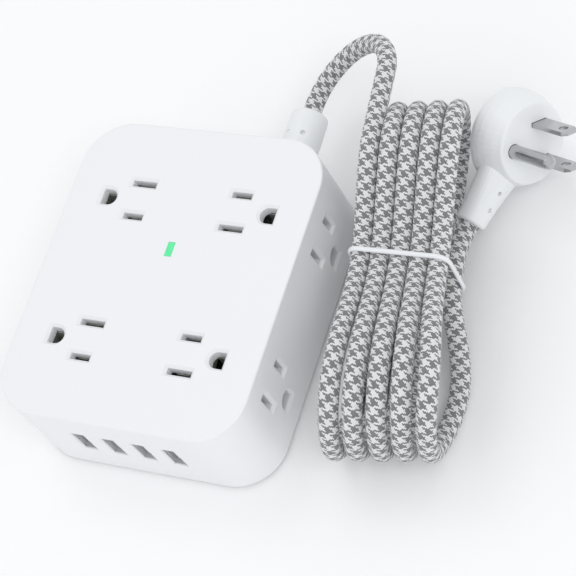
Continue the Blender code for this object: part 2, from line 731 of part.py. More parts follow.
def run_route():
    """From the strain relief, round one wide rising bend and down onto the hank's first turn."""
    entry = hank_point(FIRST_TURN)
    start = Vector((EXIT_X, EXIT_Y + BEND_START, EXIT_Z))
    across = Vector((entry.x - RUN_STAND_OFF, start.y, entry.z - 0.4 * MM)) - start
    radius = across.length / 2
    inner = Vector((EXIT_X, EXIT_Y - RELIEF_BORE + FIT, EXIT_Z))
    points = [inner, Vector((EXIT_X, EXIT_Y - 4 * MM, EXIT_Z)), start]
    for i in range(1, 9):
        a = math.pi * i / 8
        points.append(start + across * (1 - math.cos(a)) / 2 + Vector((0, radius * math.sin(a), 0)))
    points.append(points[-1].lerp(entry, 0.5))
    points.append(entry)
    return points


def plug_axes():
    """Pin direction, tail direction and the plug's third axis."""
    level = math.cos(PLUG_TILT)
    pins = Vector((level * math.cos(PLUG_AZIMUTH), level * math.sin(PLUG_AZIMUTH), math.sin(PLUG_TILT)))
    tail = Vector((-0.28, -0.95, -0.14))
    tail = (tail - pins * tail.dot(pins)).normalized()
    return pins, tail, pins.cross(tail)


def tail_end():
    """Where the cord enters the plug's tail."""
    pins, tail, _ = plug_axes()
    return PLUG_CENTRE - pins * PLUG_MID + tail * PLUG_TAIL


def tail_route():
    """From the hank's last turn into the plug's tail, as one Bezier bend."""
    start = hank_point(LAST_TURN)
    heading = (start - hank_point(LAST_TURN - 0.01)).normalized()
    _, tail, _ = plug_axes()
    end = tail_end()
    inside = end - tail * (8 * MM - FIT)
    reach = (end - start).length * 0.4
    first, last = start + heading * reach, end + tail * reach
    points = []
    for i in range(25):
        t = i / 24
        points.append(start * (1 - t) ** 3 + first * 3 * (1 - t) ** 2 * t + last * 3 * (1 - t) * t ** 2
                      + end * t ** 3)
    return points + [inside]


def add_strain_relief():
    """A tapered sleeve that grips the rear wall and holds the cord."""
    rear = BLOCK_Y / 2
    bore = CORD_D / 2 + FIT
    inner = rear - WALL - FIT
    profile = ((bore, EXIT_Y - RELIEF_BORE), (bore, EXIT_Y), (RELIEF_R - 1.1 * MM, EXIT_Y),
               (RELIEF_R - 0.5 * MM, EXIT_Y - 0.4 * MM), (RELIEF_R - 0.3 * MM, EXIT_Y - 1.2 * MM),
               (RELIEF_R, rear + FIT), (4.9 * MM, rear + FIT), (4.9 * MM, inner),
               (6.4 * MM, inner), (6.4 * MM, inner - 1.8 * MM))
    place = axes_matrix((EXIT_X, 0, EXIT_Z), (1, 0, 0), (0, 1, 0))
    relief = add_body("strain_relief", moved(turned(profile, 32), place), white_plastic(), smooth=True)
    dimples = []
    for side in (-3.4 * MM, 2.6 * MM):
        pit = turned(((0.9 * MM, EXIT_Z + 5.2 * MM), (0.9 * MM, EXIT_Z + 8 * MM)), 10)
        dimples.append(moved(pit, Matrix.Translation((EXIT_X + side, EXIT_Y - 10 * MM, 0))))
    combine(relief, dimples, "DIFFERENCE")


def hank_edges(s):
    """Left and right sides of the hank, at its top and at its bottom, across the hank."""
    pitch = turn_pitch(s)
    rim = CORD_D / 2
    top_left = (FIRST_TURN - MIDDLE_TURN if s > ENTRY_STEP else -1.05) * pitch - rim
    top_right = 2.0 * pitch + rim
    bottom_left = -1.5 * pitch - rim
    if s > TAIL_STEP:
        bottom_right = 2.5 * pitch + rim + front_spread(s)
    else:
        bottom_right = 1.3 * pitch + rim
    return top_left, top_right, bottom_left, bottom_right


def hank_section(s):
    """An eight-sided section of the hank's outer shape."""
    radius = FOLD_R + CORD_D / 2
    straight = (HANK_FRONT if s > 0 else HANK_REAR) - FOLD_R
    if abs(s) > straight:
        high = math.sqrt(max(radius ** 2 - (abs(s) - straight) ** 2, 0.0))
    else:
        high = CORD_D / 2 + WAIST_R + (FOLD_R - WAIST_R) * ramp(abs(s) / straight)
    top_left, top_right, bottom_left, bottom_right = hank_edges(s)
    cut = min(2.4 * MM, 0.5 * high)
    corners = ((bottom_left + cut, -high), (bottom_right - cut, -high), (bottom_right, cut - high),
               (top_right, high - cut), (top_right - cut, high), (top_left + cut, high),
               (top_left, high - cut), (bottom_left, cut - high))
    return [hank_place(s, w, height) for w, height in corners]


def hank_stations():
    """Places along the hank where its section is drawn, closer together round the folds."""
    nose = math.radians(78)
    folds = [nose * i / 6 for i in range(7)]
    radius = FOLD_R + CORD_D / 2
    rear = [-(HANK_REAR - FOLD_R) - radius * math.sin(a) for a in reversed(folds)]
    front = [HANK_FRONT - FOLD_R + radius * math.sin(a) for a in folds]
    waist = [rear[-1] + (front[0] - rear[-1]) * i / 12 for i in range(1, 12)]
    steps = [ENTRY_STEP, ENTRY_STEP + FIT, TAIL_STEP, TAIL_STEP + FIT]
    return sorted(rear + waist + front + steps)


def free_tail():
    """The cord from the hank's tie side to the plug."""
    return even_steps(tail_route(), 1.5 * MM)[3:]


def add_cord():
    """The cord's free stretches and the hank's outer shape."""
    tube("cord_run", smooth_route(run_route(), 3.5 * MM), CORD_D / 2, braid())
    tube("cord_tail", free_tail(), CORD_D / 2, braid())
    rings = [hank_section(s) for s in hank_stations()]
    add_body("cord_hank", lofted(rings), braid(), smooth=True)


def add_cord_tie():
    """A flat band round the hank's waist."""
    band, thick = 2.0 * MM, 0.9 * MM
    rings = []
    outer = FIT + thick
    for s, offset in ((-band / 2, FIT), (band / 2, FIT), (band / 2, outer), (-band / 2, outer)):
        section = hank_section(0.0)
        centre = sum(section, Vector()) / len(section)
        shift = hank_place(s, 0.0, 0.0) - hank_place(0.0, 0.0, 0.0)
        ring = []
        for point in section:
            outward = point - centre
            ring.append(point + shift + outward.normalized() * offset * 1.35)
        rings.append(ring)
    mesh = bmesh.new()
    loops = [[mesh.verts.new(point) for point in ring] for ring in rings]
    for k in range(4):
        lower, upper = loops[k], loops[(k + 1) % 4]
        for i in range(len(lower)):
            j = (i + 1) % len(lower)
            mesh.faces.new((lower[i], lower[j], upper[j], upper[i]))
    bmesh.ops.recalc_face_normals(mesh, faces=mesh.faces)
    add_body("cord_tie", mesh, material("tie_white", (0.9, 0.9, 0.9), 0.5))


# ---------------------------------------------------------------- plug

def plug_matrix():
    """Local x along the tail, local z along the pins, origin at the middle of the face."""
    pins, tail, _ = plug_axes()
    return axes_matrix(PLUG_CENTRE, tail, pins)


def pin_matrix():
    """As plug_matrix, turned so that local x points from the blades to the ground pin."""
    return plug_matrix() @ Matrix.Rotation(-PLUG_PIN_TURN, 4, "Z")


def tail_ring(x, half_y, half_z, count=TAIL_SIDES):
    """An oval section of the plug's tail."""
    ring = []
    for i in range(count):
        a = 2 * math.pi * i / count
        ring.append((x, half_y * math.cos(a), -PLUG_MID + half_z * math.sin(a)))
    return ring


def blade_sides():
    return (("plug_line_blade", -BLADE_SPACING / 2), ("plug_neutral_blade", BLADE_SPACING / 2))


def add_plug_body():
    """The round flat head, its raised face and the tail that runs off at a slant to the pins."""
    back = -PLUG_DEPTH
    profile = ((PLUG_R - 3.4 * MM, back), (PLUG_R - 1.5 * MM, back + 0.6 * MM),
               (PLUG_R - 0.4 * MM, back + 1.8 * MM), (PLUG_R, back + 3.4 * MM),
               (PLUG_R - 0.1 * MM, back + 5.8 * MM), (PLUG_R - 0.6 * MM, back + 8.2 * MM),
               (PLUG_R - 1.5 * MM, back + 10.8 * MM), (PLUG_FACE_R + 0.4 * MM, -1.6 * MM),
               (PLUG_FACE_R + 0.1 * MM, -0.7 * MM), (PLUG_FACE_R - 0.2 * MM, -0.2 * MM),
               (PLUG_FACE_R - 0.7 * MM, 0.0))
    head = moved(turned(profile, PLUG_SIDES), plug_matrix())
    body = add_body("plug_body", head, white_plastic(), smooth=True)
    rings = [tail_ring(9 * MM, 9.0 * MM, 5.6 * MM), tail_ring(14 * MM, 8.2 * MM, 5.6 * MM),
             tail_ring(19 * MM, 7.0 * MM, 5.5 * MM), tail_ring(25 * MM, 6.0 * MM, 5.3 * MM),
             tail_ring(PLUG_TAIL - 0.6 * MM, 5.2 * MM, 5.1 * MM), tail_ring(PLUG_TAIL, 4.7 * MM, 4.6 * MM)]
    combine(body, [moved(lofted(rings), plug_matrix())], "UNION")

    cutters = []
    hole = turned(((CORD_D / 2 + FIT, PLUG_TAIL - 8 * MM), (CORD_D / 2 + FIT, PLUG_TAIL + MM)), 16)
    along_tail = axes_matrix((0, 0, -PLUG_MID), (0, 1, 0), (1, 0, 0))
    cutters.append(moved(hole, plug_matrix() @ along_tail))
    for x in (20.0 * MM, 26.5 * MM):
        pit = turned(((0.8 * MM, -PLUG_MID + 4.3 * MM), (0.8 * MM, 0.0)), 10)
        cutters.append(moved(pit, plug_matrix() @ Matrix.Translation((x, 0, 0))))
    root = -2.0 * MM - FIT
    for _, y in blade_sides():
        pocket = block((BLADE_LINE - BLADE_WIDTH / 2 - FINE_FIT, y - BLADE_THICK / 2 - FINE_FIT, root),
                       (BLADE_LINE + BLADE_WIDTH / 2 + FINE_FIT, y + BLADE_THICK / 2 + FINE_FIT, MM))
        cutters.append(moved(pocket, pin_matrix()))
    pocket = turned(((PIN_R + FINE_FIT, root), (PIN_R + FINE_FIT, MM)), 20)
    cutters.append(moved(pocket, pin_matrix() @ Matrix.Translation((BLADE_LINE + GROUND_OFFSET, 0, 0))))
    combine(body, cutters, "DIFFERENCE")


def add_plug_pins():
    """Two flat blades, each with a hole near its tip, and the round ground pin."""
    root = -2.0 * MM
    for name, y in blade_sides():
        half, thick = BLADE_WIDTH / 2, BLADE_THICK / 2
        sizes = ((root, 0.0, 0.0), (BLADE_LENGTH - 2.2 * MM, 0.0, 0.0),
                 (BLADE_LENGTH, 1.0 * MM, 0.35 * MM))
        rings = []
        for z, cut_x, cut_y in sizes:
            ring = slot_ring(2 * (half - cut_x), 2 * (thick - cut_y), (BLADE_LINE, y), z)
            rings.append(ring)
        blade = add_body(name, moved(lofted(rings), pin_matrix()), nickel())
        hole = turned(((1.6 * MM, -2 * MM), (1.6 * MM, 2 * MM)), 16)
        across = axes_matrix((BLADE_LINE, y, BLADE_LENGTH - 4.2 * MM), (1, 0, 0), (0, 1, 0))
        combine(blade, [moved(hole, pin_matrix() @ across)], "DIFFERENCE")
    profile = [(PIN_R, root), (PIN_R, PIN_LENGTH - PIN_R)]
    for i in (1, 2, 3):
        a = math.radians(25 * i)
        profile.append((PIN_R * math.cos(a), PIN_LENGTH - PIN_R + PIN_R * math.sin(a)))
    place = pin_matrix() @ Matrix.Translation((BLADE_LINE + GROUND_OFFSET, 0, 0))
    add_body("plug_ground_pin", turned(profile, 20), nickel(), place, smooth=True)


def main():
    clear_scene()
    add_top_shell()
    add_base_cover()
    add_cover_screws()
    add_feet()
    add_indicator_window()
    add_contact_bars()
    add_surge_board()
    add_varistors()
    add_board_parts()
    add_usb_ports()
    add_usb_supply()
    add_breaker()
    add_inner_leads()
    add_strain_relief()
    add_cord()
    add_cord_tie()
    add_plug_body()
    add_plug_pins()


main()
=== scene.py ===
"""Looks of the surge protector block: moulded shell, woven lead in a tied hank, plug and ports."""
import math

import bmesh
import bpy
import numpy as np
from mathutils import Matrix, Vector


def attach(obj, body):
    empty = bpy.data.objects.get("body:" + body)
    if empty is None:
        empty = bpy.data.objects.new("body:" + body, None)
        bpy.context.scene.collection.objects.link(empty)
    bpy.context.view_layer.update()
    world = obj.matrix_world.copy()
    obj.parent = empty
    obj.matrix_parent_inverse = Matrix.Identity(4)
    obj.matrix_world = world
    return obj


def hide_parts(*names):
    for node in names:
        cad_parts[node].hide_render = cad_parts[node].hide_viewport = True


MM = 0.001

# Camera, in the frame's metres
CAMERA_AT = Vector((0.35465, -0.24835, 0.60617))
CAMERA_LOOKS = Vector((-0.44988, 0.35950, -0.81754))
CAMERA_UP = Vector((-0.12100, 0.88243, 0.45462))
CAMERA_LENS = 133.0
CAMERA_SHIFT = (0.0235, 0.0)
CAMERA_SENSOR = 36.0
CAMERA_CLIP = (0.01, 20.0)

# Stage: the floor, the sky, and each lamp's place, aim, width and power
FLOOR_HALF = 6.0
FLOOR_BELOW = 0.05 * MM
SKY_COLOUR = (0.97, 0.985, 1.0, 1.0)
SKY_STRENGTH = 0.85
LAMPS = {
    "key": ((-0.7, 0.8, 2.2), (0.03, 0.02, 0.0), 1.0, 3.0),
    "front": ((-0.3, -0.9, 0.6), (0.0, 0.0, 0.02), 0.8, 0.4),
    "right": ((1.2, -0.5, 1.7), (0.05, 0.0, 0.02), 1.0, 7.0),
}

# Lead and hank, the same route as the solids follow
CORD_D = 6.6 * MM
EXIT_X = 23.5 * MM
EXIT_Z = 20.0 * MM
EXIT_Y = 76.3 * MM
RELIEF_BORE = 10.0 * MM
BORE_END_GAP = 0.3 * MM
RELIEF_STRAIGHT = 4 * MM
RUN_STAND_OFF = 2.6 * MM
RUN_DROP = 0.4 * MM
BEND_START = 3.0 * MM
BEND_STEPS = 8
HANK_X = 76.6 * MM
HANK_Y = 21.0 * MM
HANK_ANGLE = math.radians(8.5)
HANK_FRONT = 63.5 * MM
HANK_REAR = 57.5 * MM
FOLD_R = 20.3 * MM
WAIST_R = 8.4 * MM
HANK_LEAN = math.radians(13.0)
FIRST_TURN = -0.135
LAST_TURN = 4.5
MIDDLE_TURN = 2.0
PITCH_WAIST = 1.03 * CORD_D
PITCH_FRONT = 1.22 * CORD_D
PITCH_REAR = 1.07 * CORD_D
LAST_LOOP_SPREAD = 6.0 * MM
SPREAD_PAST_FRONT = 4 * MM
SPREAD_FROM_TURN = 4.02
SPREAD_TURNS = 0.42

# Plug
PLUG_CENTRE = Vector((107.0, 74.0, 20.0)) * MM
PLUG_AZIMUTH = math.radians(-20.0)
PLUG_TILT = math.radians(17.0)
PLUG_MID = 7.4 * MM
PLUG_TAIL = 33.0 * MM
TAIL_HEADING = Vector((-0.28, -0.95, -0.14))
TAIL_INSIDE = 7.7 * MM
TAIL_REACH = 0.4
TAIL_STEPS = 24

# Braid: yarns each way round the cord, and how the dark and pale ones are grouped
YARNS_LEFT = 40
YARNS_RIGHT = 24
YARN_GROUP = 8
BRAID_REPEAT = 4.7 * MM
BRAID_STRAY = 0.22
CORD_SIDES = 28
CORD_STEP = 1.0 * MM
CURVE_STEPS = 20
HANK_STEPS = 3000
SMOOTH_OVER = 5

# Tie round the hank's waist
TIE_WIDE = 1.8 * MM
TIE_THICK = 1.2 * MM
TIE_SLANT = math.tan(math.radians(7.0))
TIE_STEPS = 120
TIE_SIDES = 16
RIM_SIDES = 72

# Surface detail: noise scales per metre, and how far the roughness strays
PATCH_NOISE = 60.0
STRAY_NOISE_A = 1900.0
STRAY_NOISE_B = 2300.0
FIBRE_NOISE = 5500.0
FUZZ_NOISE = 260.0
LENS_NOISE = 400.0
LENS_RELIEF_NOISE = 900.0
GLOSS_SPREAD = 0.06


# ---------------------------------------------------------------- node helpers

class Nodes:
    """A short way to build one material's node tree."""

    def __init__(self, name):
        self.mat = bpy.data.materials.new(name)
        self.mat.use_nodes = True
        self.tree = self.mat.node_tree
        self.shader = self.tree.nodes["Principled BSDF"]

    def add(self, kind, **settings):
        node = self.tree.nodes.new(kind)
        for key, value in settings.items():
            setattr(node, key, value)
        return node

    def link(self, source, target):
        self.tree.links.new(source, target)

    def put(self, target, value):
        """Link a socket, or set a plain number."""
        if isinstance(value, bpy.types.NodeSocket):
            self.link(value, target)
        else:
            target.default_value = value

    def math(self, operation, a, b=0.0):
        node = self.add("ShaderNodeMath", operation=operation)
        self.put(node.inputs[0], a)
        self.put(node.inputs[1], b)
        return node.outputs[0]

    def mix(self, factor, a, b):
        """Mix two colours."""
        node = self.add("ShaderNodeMix", data_type="RGBA")
        self.put(node.inputs["Factor"], factor)
        for socket, value in ((node.inputs[6], a), (node.inputs[7], b)):
            linked = isinstance(value, bpy.types.NodeSocket)
            self.put(socket, value if linked else (*value, 1.0))
        return node.outputs[2]

    def noise(self, scale, detail):
        node = self.add("ShaderNodeTexNoise")
        node.inputs["Scale"].default_value = scale
        node.inputs["Detail"].default_value = detail
        place = self.add("ShaderNodeTexCoord").outputs["Object"]
        self.link(place, node.inputs["Vector"])
        return node.outputs["Fac"]

    def spread(self, value, low, high):
        """Map 0..1 onto low..high."""
        node = self.add("ShaderNodeMapRange")
        self.link(value, node.inputs["Value"])
        node.inputs["To Min"].default_value = low
        node.inputs["To Max"].default_value = high
        return node.outputs["Result"]

    def bump(self, height, distance, strength=1.0, normal=None):
        node = self.add("ShaderNodeBump")
        node.inputs["Distance"].default_value = distance
        node.inputs["Strength"].default_value = strength
        self.link(height, node.inputs["Height"])
        if normal is not None:
            self.link(normal, node.inputs["Normal"])
        return node.outputs["Normal"]


def grained(name, colour, roughness, metallic=0.0, grain=0.45 * MM, relief=0.006 * MM,
            tone=0.04):
    """A moulded, painted or plated surface: fine grain, slow patches of tone and gloss."""
    n = Nodes(name)
    fine = n.noise(1.0 / grain, 2.0)
    slow = n.noise(PATCH_NOISE, 3.0)
    dark = tuple(c * (1.0 - tone) for c in colour)
    n.link(n.mix(slow, dark, colour), n.shader.inputs["Base Color"])
    patchy = n.spread(slow, roughness - GLOSS_SPREAD, roughness + GLOSS_SPREAD)
    n.link(patchy, n.shader.inputs["Roughness"])
    n.shader.inputs["Metallic"].default_value = metallic
    n.link(n.bump(fine, relief), n.shader.inputs["Normal"])
    return n.mat


def braid_material():
    """Pale and grey yarns braided in a two-over, two-under weave, four and four of each colour."""
    n = Nodes("woven_braid")
    uv = n.add("ShaderNodeUVMap", uv_map="cord")
    split = n.add("ShaderNodeSeparateXYZ")
    n.link(uv.outputs["UV"], split.inputs[0])
    along, around = split.outputs[0], split.outputs[1]
    length = n.math("MULTIPLY", along, YARN_GROUP / BRAID_REPEAT)
    stray_a = n.spread(n.noise(STRAY_NOISE_A, 2.0), -BRAID_STRAY * 2, BRAID_STRAY * 2)
    stray_b = n.spread(n.noise(STRAY_NOISE_B, 2.0), -BRAID_STRAY * 2, BRAID_STRAY * 2)
    turned_left = n.math("MULTIPLY", around, float(YARNS_LEFT))
    turned_right = n.math("MULTIPLY", around, float(YARNS_RIGHT))
    a = n.math("ADD", n.math("ADD", length, turned_left), stray_a)
    b = n.math("ADD", n.math("SUBTRACT", length, turned_right), stray_b)
    i, j = n.math("FLOOR", a), n.math("FLOOR", b)
    over = n.math("LESS_THAN", n.math("FLOORED_MODULO", n.math("ADD", i, j), 4.0), 2.0)
    under = n.math("SUBTRACT", 1.0, over)

    def whichever_is_on_top(of_a, of_b):
        return n.math("ADD", n.math("MULTIPLY", over, of_a), n.math("MULTIPLY", under, of_b))

    def is_dark(yarn):
        within = n.math("FLOORED_MODULO", yarn, float(YARN_GROUP))
        return n.math("LESS_THAN", within, YARN_GROUP / 2)

    dark = whichever_is_on_top(is_dark(i), is_dark(j))
    ridge = whichever_is_on_top(n.math("PINGPONG", a, 0.5), n.math("PINGPONG", b, 0.5))
    crest = n.math("SQRT", n.math("MULTIPLY", ridge, 2.0))
    fibre = n.noise(FIBRE_NOISE, 2.0)
    fuzz = n.noise(FUZZ_NOISE, 4.0)
    pale = n.mix(fibre, (0.95, 0.95, 0.96), (1.0, 1.0, 1.0))
    grey = n.mix(fibre, (0.14, 0.14, 0.145), (0.4, 0.4, 0.41))
    woven = n.mix(dark, pale, grey)
    # Painted shade: the yarns' colour is darkened towards their edges, in the creases between
    # yarns; the fuzz noise adds random tone on top
    painted_groove_shade = n.spread(crest, 0.78, 1.0)
    groove_shade_and_fuzz = n.math("MULTIPLY", painted_groove_shade, n.spread(fuzz, 0.92, 1.06))
    shade = n.add("ShaderNodeMix", data_type="RGBA", blend_type="MULTIPLY")
    shade.inputs["Factor"].default_value = 1.0
    n.link(woven, shade.inputs[6])
    shade_and_fuzz_colour = n.add("ShaderNodeCombineColor")
    for channel in range(3):
        n.link(groove_shade_and_fuzz, shade_and_fuzz_colour.inputs[channel])
    n.link(shade_and_fuzz_colour.outputs[0], shade.inputs[7])
    n.link(shade.outputs[2], n.shader.inputs["Base Color"])
    n.link(n.spread(fibre, 0.72, 0.92), n.shader.inputs["Roughness"])
    n.shader.inputs["Sheen Weight"].default_value = 0.2
    n.shader.inputs["Sheen Roughness"].default_value = 0.5
    n.shader.inputs["Specular IOR Level"].default_value = 0.3
    fine = n.bump(fibre, 0.03 * MM, 0.6)
    n.link(n.bump(crest, 0.22 * MM, 0.9, fine), n.shader.inputs["Normal"])
    return n.mat


def lens_material():
    """Clear green plastic with the lamp glowing behind it."""
    n = Nodes("green_lens")
    slow = n.noise(LENS_NOISE, 2.0)
    colour = n.mix(slow, (0.06, 0.62, 0.24), (0.1, 0.72, 0.31))
    n.link(colour, n.shader.inputs["Base Color"])
    n.link(colour, n.shader.inputs["Emission Color"])
    n.shader.inputs["Emission Strength"].default_value = 0.3
    n.shader.inputs["Roughness"].default_value = 0.18
    relief = n.bump(n.noise(LENS_RELIEF_NOISE, 1.0), 0.01 * MM)
    n.link(relief, n.shader.inputs["Normal"])
    return n.mat


# ---------------------------------------------------------------- route of the lead

def ramp(t):
    """Rise smoothly from 0 to 1 as t goes from 0 to 1."""
    t = min(max(t, 0.0), 1.0)
    return 0.5 - 0.5 * math.cos(math.pi * t)


def turn_shape(turn):
    """Where a turn of the hank is: how far forward of the waist, and how high over the middle."""
    phase = turn % 1.0
    forward = phase < 0.5
    half_length = HANK_FRONT if forward else HANK_REAR
    straight = half_length - FOLD_R
    along = (phase if forward else phase - 0.5) * 2 * (2 * straight + math.pi * FOLD_R)
    if along < straight:
        s, side = along, 1
    elif along < straight + math.pi * FOLD_R:
        a = (along - straight) / FOLD_R
        s, height = straight + FOLD_R * math.sin(a), FOLD_R * math.cos(a)
        return (s, height) if forward else (-s, -height)
    else:
        s, side = 2 * straight + math.pi * FOLD_R - along, -1
    height = side * (WAIST_R + (FOLD_R - WAIST_R) * ramp(s / straight))
    return (s, height) if forward else (-s, -height)


def turn_pitch(s):
    """Distance between neighbouring turns, least at the waist."""
    if s > 0:
        return PITCH_WAIST + (PITCH_FRONT - PITCH_WAIST) * ramp(s / HANK_FRONT)
    return PITCH_WAIST + (PITCH_REAR - PITCH_WAIST) * ramp(-s / HANK_REAR)


def hank_place(s, w, height):
    """A point of the hank, from its own directions to the frame's."""
    w += height * math.sin(HANK_LEAN)
    z = CORD_D / 2 + (FOLD_R + height) * math.cos(HANK_LEAN)
    x = HANK_X + s * math.sin(HANK_ANGLE) + w * math.cos(HANK_ANGLE)
    y = HANK_Y - s * math.cos(HANK_ANGLE) + w * math.sin(HANK_ANGLE)
    return Vector((x, y, z))


def front_spread(s):
    """How far the last loop stands off the others in front of the waist."""
    along = min(max(s / (HANK_FRONT + SPREAD_PAST_FRONT), 0.0), 1.0)
    return LAST_LOOP_SPREAD * math.sin(math.pi * along) ** 2


def hank_point(turn):
    """The cord's centre after so many turns of the hank."""
    s, height = turn_shape(turn)
    loose = ramp((turn - SPREAD_FROM_TURN) / SPREAD_TURNS)
    w = (turn - MIDDLE_TURN) * turn_pitch(s) + front_spread(s) * loose
    return hank_place(s, w, height)


def catmull(points):
    """A smooth curve through all the points."""
    knots = [Vector(p) for p in points]
    padded = [2 * knots[0] - knots[1]] + knots + [2 * knots[-1] - knots[-2]]
    fine = []
    for a, b, c, d in zip(padded, padded[1:], padded[2:], padded[3:]):
        for i in range(CURVE_STEPS):
            t = i / CURVE_STEPS
            fine.append(0.5 * ((2 * b) + (c - a) * t + (2 * a - 5 * b + 4 * c - d) * t ** 2
                               + (3 * b - a - 3 * c + d) * t ** 3))
    return fine + [knots[-1]]


def run_route():
    """From the strain relief, round one wide rising bend and down onto the hank's first turn."""
    entry = hank_point(FIRST_TURN)
    start = Vector((EXIT_X, EXIT_Y + BEND_START, EXIT_Z))
    across = Vector((entry.x - RUN_STAND_OFF, start.y, entry.z - RUN_DROP)) - start
    radius = across.length / 2
    points = [
        Vector((EXIT_X, EXIT_Y - RELIEF_BORE + BORE_END_GAP, EXIT_Z)),
        Vector((EXIT_X, EXIT_Y - RELIEF_STRAIGHT, EXIT_Z)),
        start,
    ]
    for i in range(1, BEND_STEPS + 1):
        a = math.pi * i / BEND_STEPS
        out = Vector((0, radius * math.sin(a), 0))
        points.append(start + across * (1 - math.cos(a)) / 2 + out)
    points.append(points[-1].lerp(entry, 0.5))
    points.append(entry)
    return points


def plug_axes():
    """The way the plug's pins point, and the way its tail points, square to them."""
    level = math.cos(PLUG_TILT)
    pins = Vector((
        level * math.cos(PLUG_AZIMUTH),
        level * math.sin(PLUG_AZIMUTH),
        math.sin(PLUG_TILT),
    ))
    tail = (TAIL_HEADING - pins * TAIL_HEADING.dot(pins)).normalized()
    return pins, tail


def tail_route():
    """From the hank's last turn, in one easy bend, into the plug's tail."""
    start = hank_point(LAST_TURN)
    heading = (start - hank_point(LAST_TURN - 0.01)).normalized()
    pins, tail = plug_axes()
    end = PLUG_CENTRE - pins * PLUG_MID + tail * PLUG_TAIL
    inside = end - tail * TAIL_INSIDE
    reach = (end - start).length * TAIL_REACH
    first, last = start + heading * reach, end + tail * reach
    points = []
    for i in range(1, TAIL_STEPS + 1):
        t = i / TAIL_STEPS
        points.append(start * (1 - t) ** 3 + first * 3 * (1 - t) ** 2 * t
                      + last * 3 * (1 - t) * t ** 2 + end * t ** 3)
    return points + [inside]


def run_along(line):
    """Distance along a line at each of its points."""
    return np.concatenate(([0.0], np.cumsum(np.linalg.norm(np.diff(line, axis=0), axis=1))))


def cord_line():
    """The lead's centre line from inside the strain relief to inside the plug, evenly spaced."""
    fine = catmull(run_route())
    for i in range(1, HANK_STEPS + 1):
        fine.append(hank_point(FIRST_TURN + (LAST_TURN - FIRST_TURN) * i / HANK_STEPS))
    fine += tail_route()
    line = np.array([tuple(p) for p in fine])
    run = run_along(line)
    marks = np.linspace(0.0, run[-1], round(run[-1] / CORD_STEP) + 1)
    even = np.stack([np.interp(marks, run, line[:, axis]) for axis in range(3)], axis=1)
    kernel = np.ones(SMOOTH_OVER) / SMOOTH_OVER
    edge = SMOOTH_OVER // 2
    smooth = even.copy()
    for axis in range(3):
        smooth[edge:-edge, axis] = np.convolve(even[:, axis], kernel, mode="valid")
    return smooth


# ---------------------------------------------------------------- meshes

def add_object(name, mesh, mat, smooth=True):
    """Turn a finished bmesh into an object of the scene."""
    data = bpy.data.meshes.new(name)
    mesh.to_mesh(data)
    mesh.free()
    if smooth:
        data.shade_smooth()
    obj = bpy.data.objects.new(name, data)
    bpy.context.scene.collection.objects.link(obj)
    data.materials.append(mat)
    return obj


def swept_frames(line):
    """Two sideways directions carried along a line without twisting."""
    tangents = np.gradient(line, axis=0)
    tangents /= np.linalg.norm(tangents, axis=1)[:, None]
    normal = np.cross(tangents[0], (0.0, 0.0, 1.0))
    normal /= np.linalg.norm(normal)
    normals = [normal]
    for tangent in tangents[1:]:
        normal = normal - tangent * normal.dot(tangent)
        normal = normal / np.linalg.norm(normal)
        normals.append(normal)
    normals = np.array(normals)
    return normals, np.cross(tangents, normals)


def ring_of(mesh, centre, across, up, sides):
    """Vertices round an oval whose half widths are the lengths of two directions."""
    ring = []
    for k in range(sides):
        a = 2 * math.pi * k / sides
        ring.append(mesh.verts.new(centre + across * math.cos(a) + up * math.sin(a)))
    return ring


def add_cord(line):
    """The woven lead as one tube, with its length and turn kept as coordinates for the weave."""
    normals, sides = swept_frames(line)
    run = run_along(line)
    mesh = bmesh.new()
    layer = mesh.loops.layers.uv.new("cord")
    rings = [
        ring_of(mesh, centre, normal * CORD_D / 2, side * CORD_D / 2, CORD_SIDES)
        for centre, normal, side in zip(line, normals, sides)
    ]
    for index, (lower, upper) in enumerate(zip(rings, rings[1:])):
        for k in range(CORD_SIDES):
            m = (k + 1) % CORD_SIDES
            face = mesh.faces.new((lower[k], lower[m], upper[m], upper[k]))
            corners = ((index, k), (index, k + 1), (index + 1, k + 1), (index + 1, k))
            for loop, (at, turn) in zip(face.loops, corners):
                loop[layer].uv = (run[at], turn / CORD_SIDES)
    mesh.faces.new(list(reversed(rings[0])))
    mesh.faces.new(rings[-1])
    bmesh.ops.recalc_face_normals(mesh, faces=mesh.faces)
    return add_object("braided_lead", mesh, braid_material())


def hull(points):
    """Convex outline of points in a plane, going round once."""
    points = sorted(points)
    halves = []
    for order in (points, points[::-1]):
        half = []
        for p in order:
            while len(half) > 1 and ((half[-1][0] - half[-2][0]) * (p[1] - half[-2][1])
                                     - (half[-1][1] - half[-2][1]) * (p[0] - half[-2][0])) <= 0:
                half.pop()
            half.append(p)
        halves.append(half[:-1])
    return halves[0] + halves[1]


def hank_forward():
    """The way the hank's front points, level."""
    return Vector((math.sin(HANK_ANGLE), -math.cos(HANK_ANGLE), 0.0))


def tie_line():
    """The closed line the tie follows round the runs at the hank's waist."""
    origin = hank_place(0.0, 0.0, 0.0)
    across = Vector((math.cos(HANK_ANGLE), math.sin(HANK_ANGLE), 0.0))
    reach = CORD_D / 2 + TIE_THICK / 2
    rim = []
    for half_turn in range(round(2 * LAST_TURN) + 1):
        at = hank_point(half_turn / 2) - origin
        for k in range(RIM_SIDES):
            a = 2 * math.pi * k / RIM_SIDES
            rim.append((at.dot(across) + reach * math.cos(a), at.z + reach * math.sin(a)))
    outline = np.array(hull(rim))
    outline = np.vstack((outline, outline[:1]))
    run = run_along(outline)
    marks = np.linspace(0.0, run[-1], TIE_STEPS + 1)[:-1]
    along = hank_forward()
    line = []
    for mark in marks:
        wide = np.interp(mark, run, outline[:, 0])
        high = np.interp(mark, run, outline[:, 1])
        slant = along * wide * TIE_SLANT
        line.append(origin + across * wide + slant + Vector((0, 0, high)))
    return line


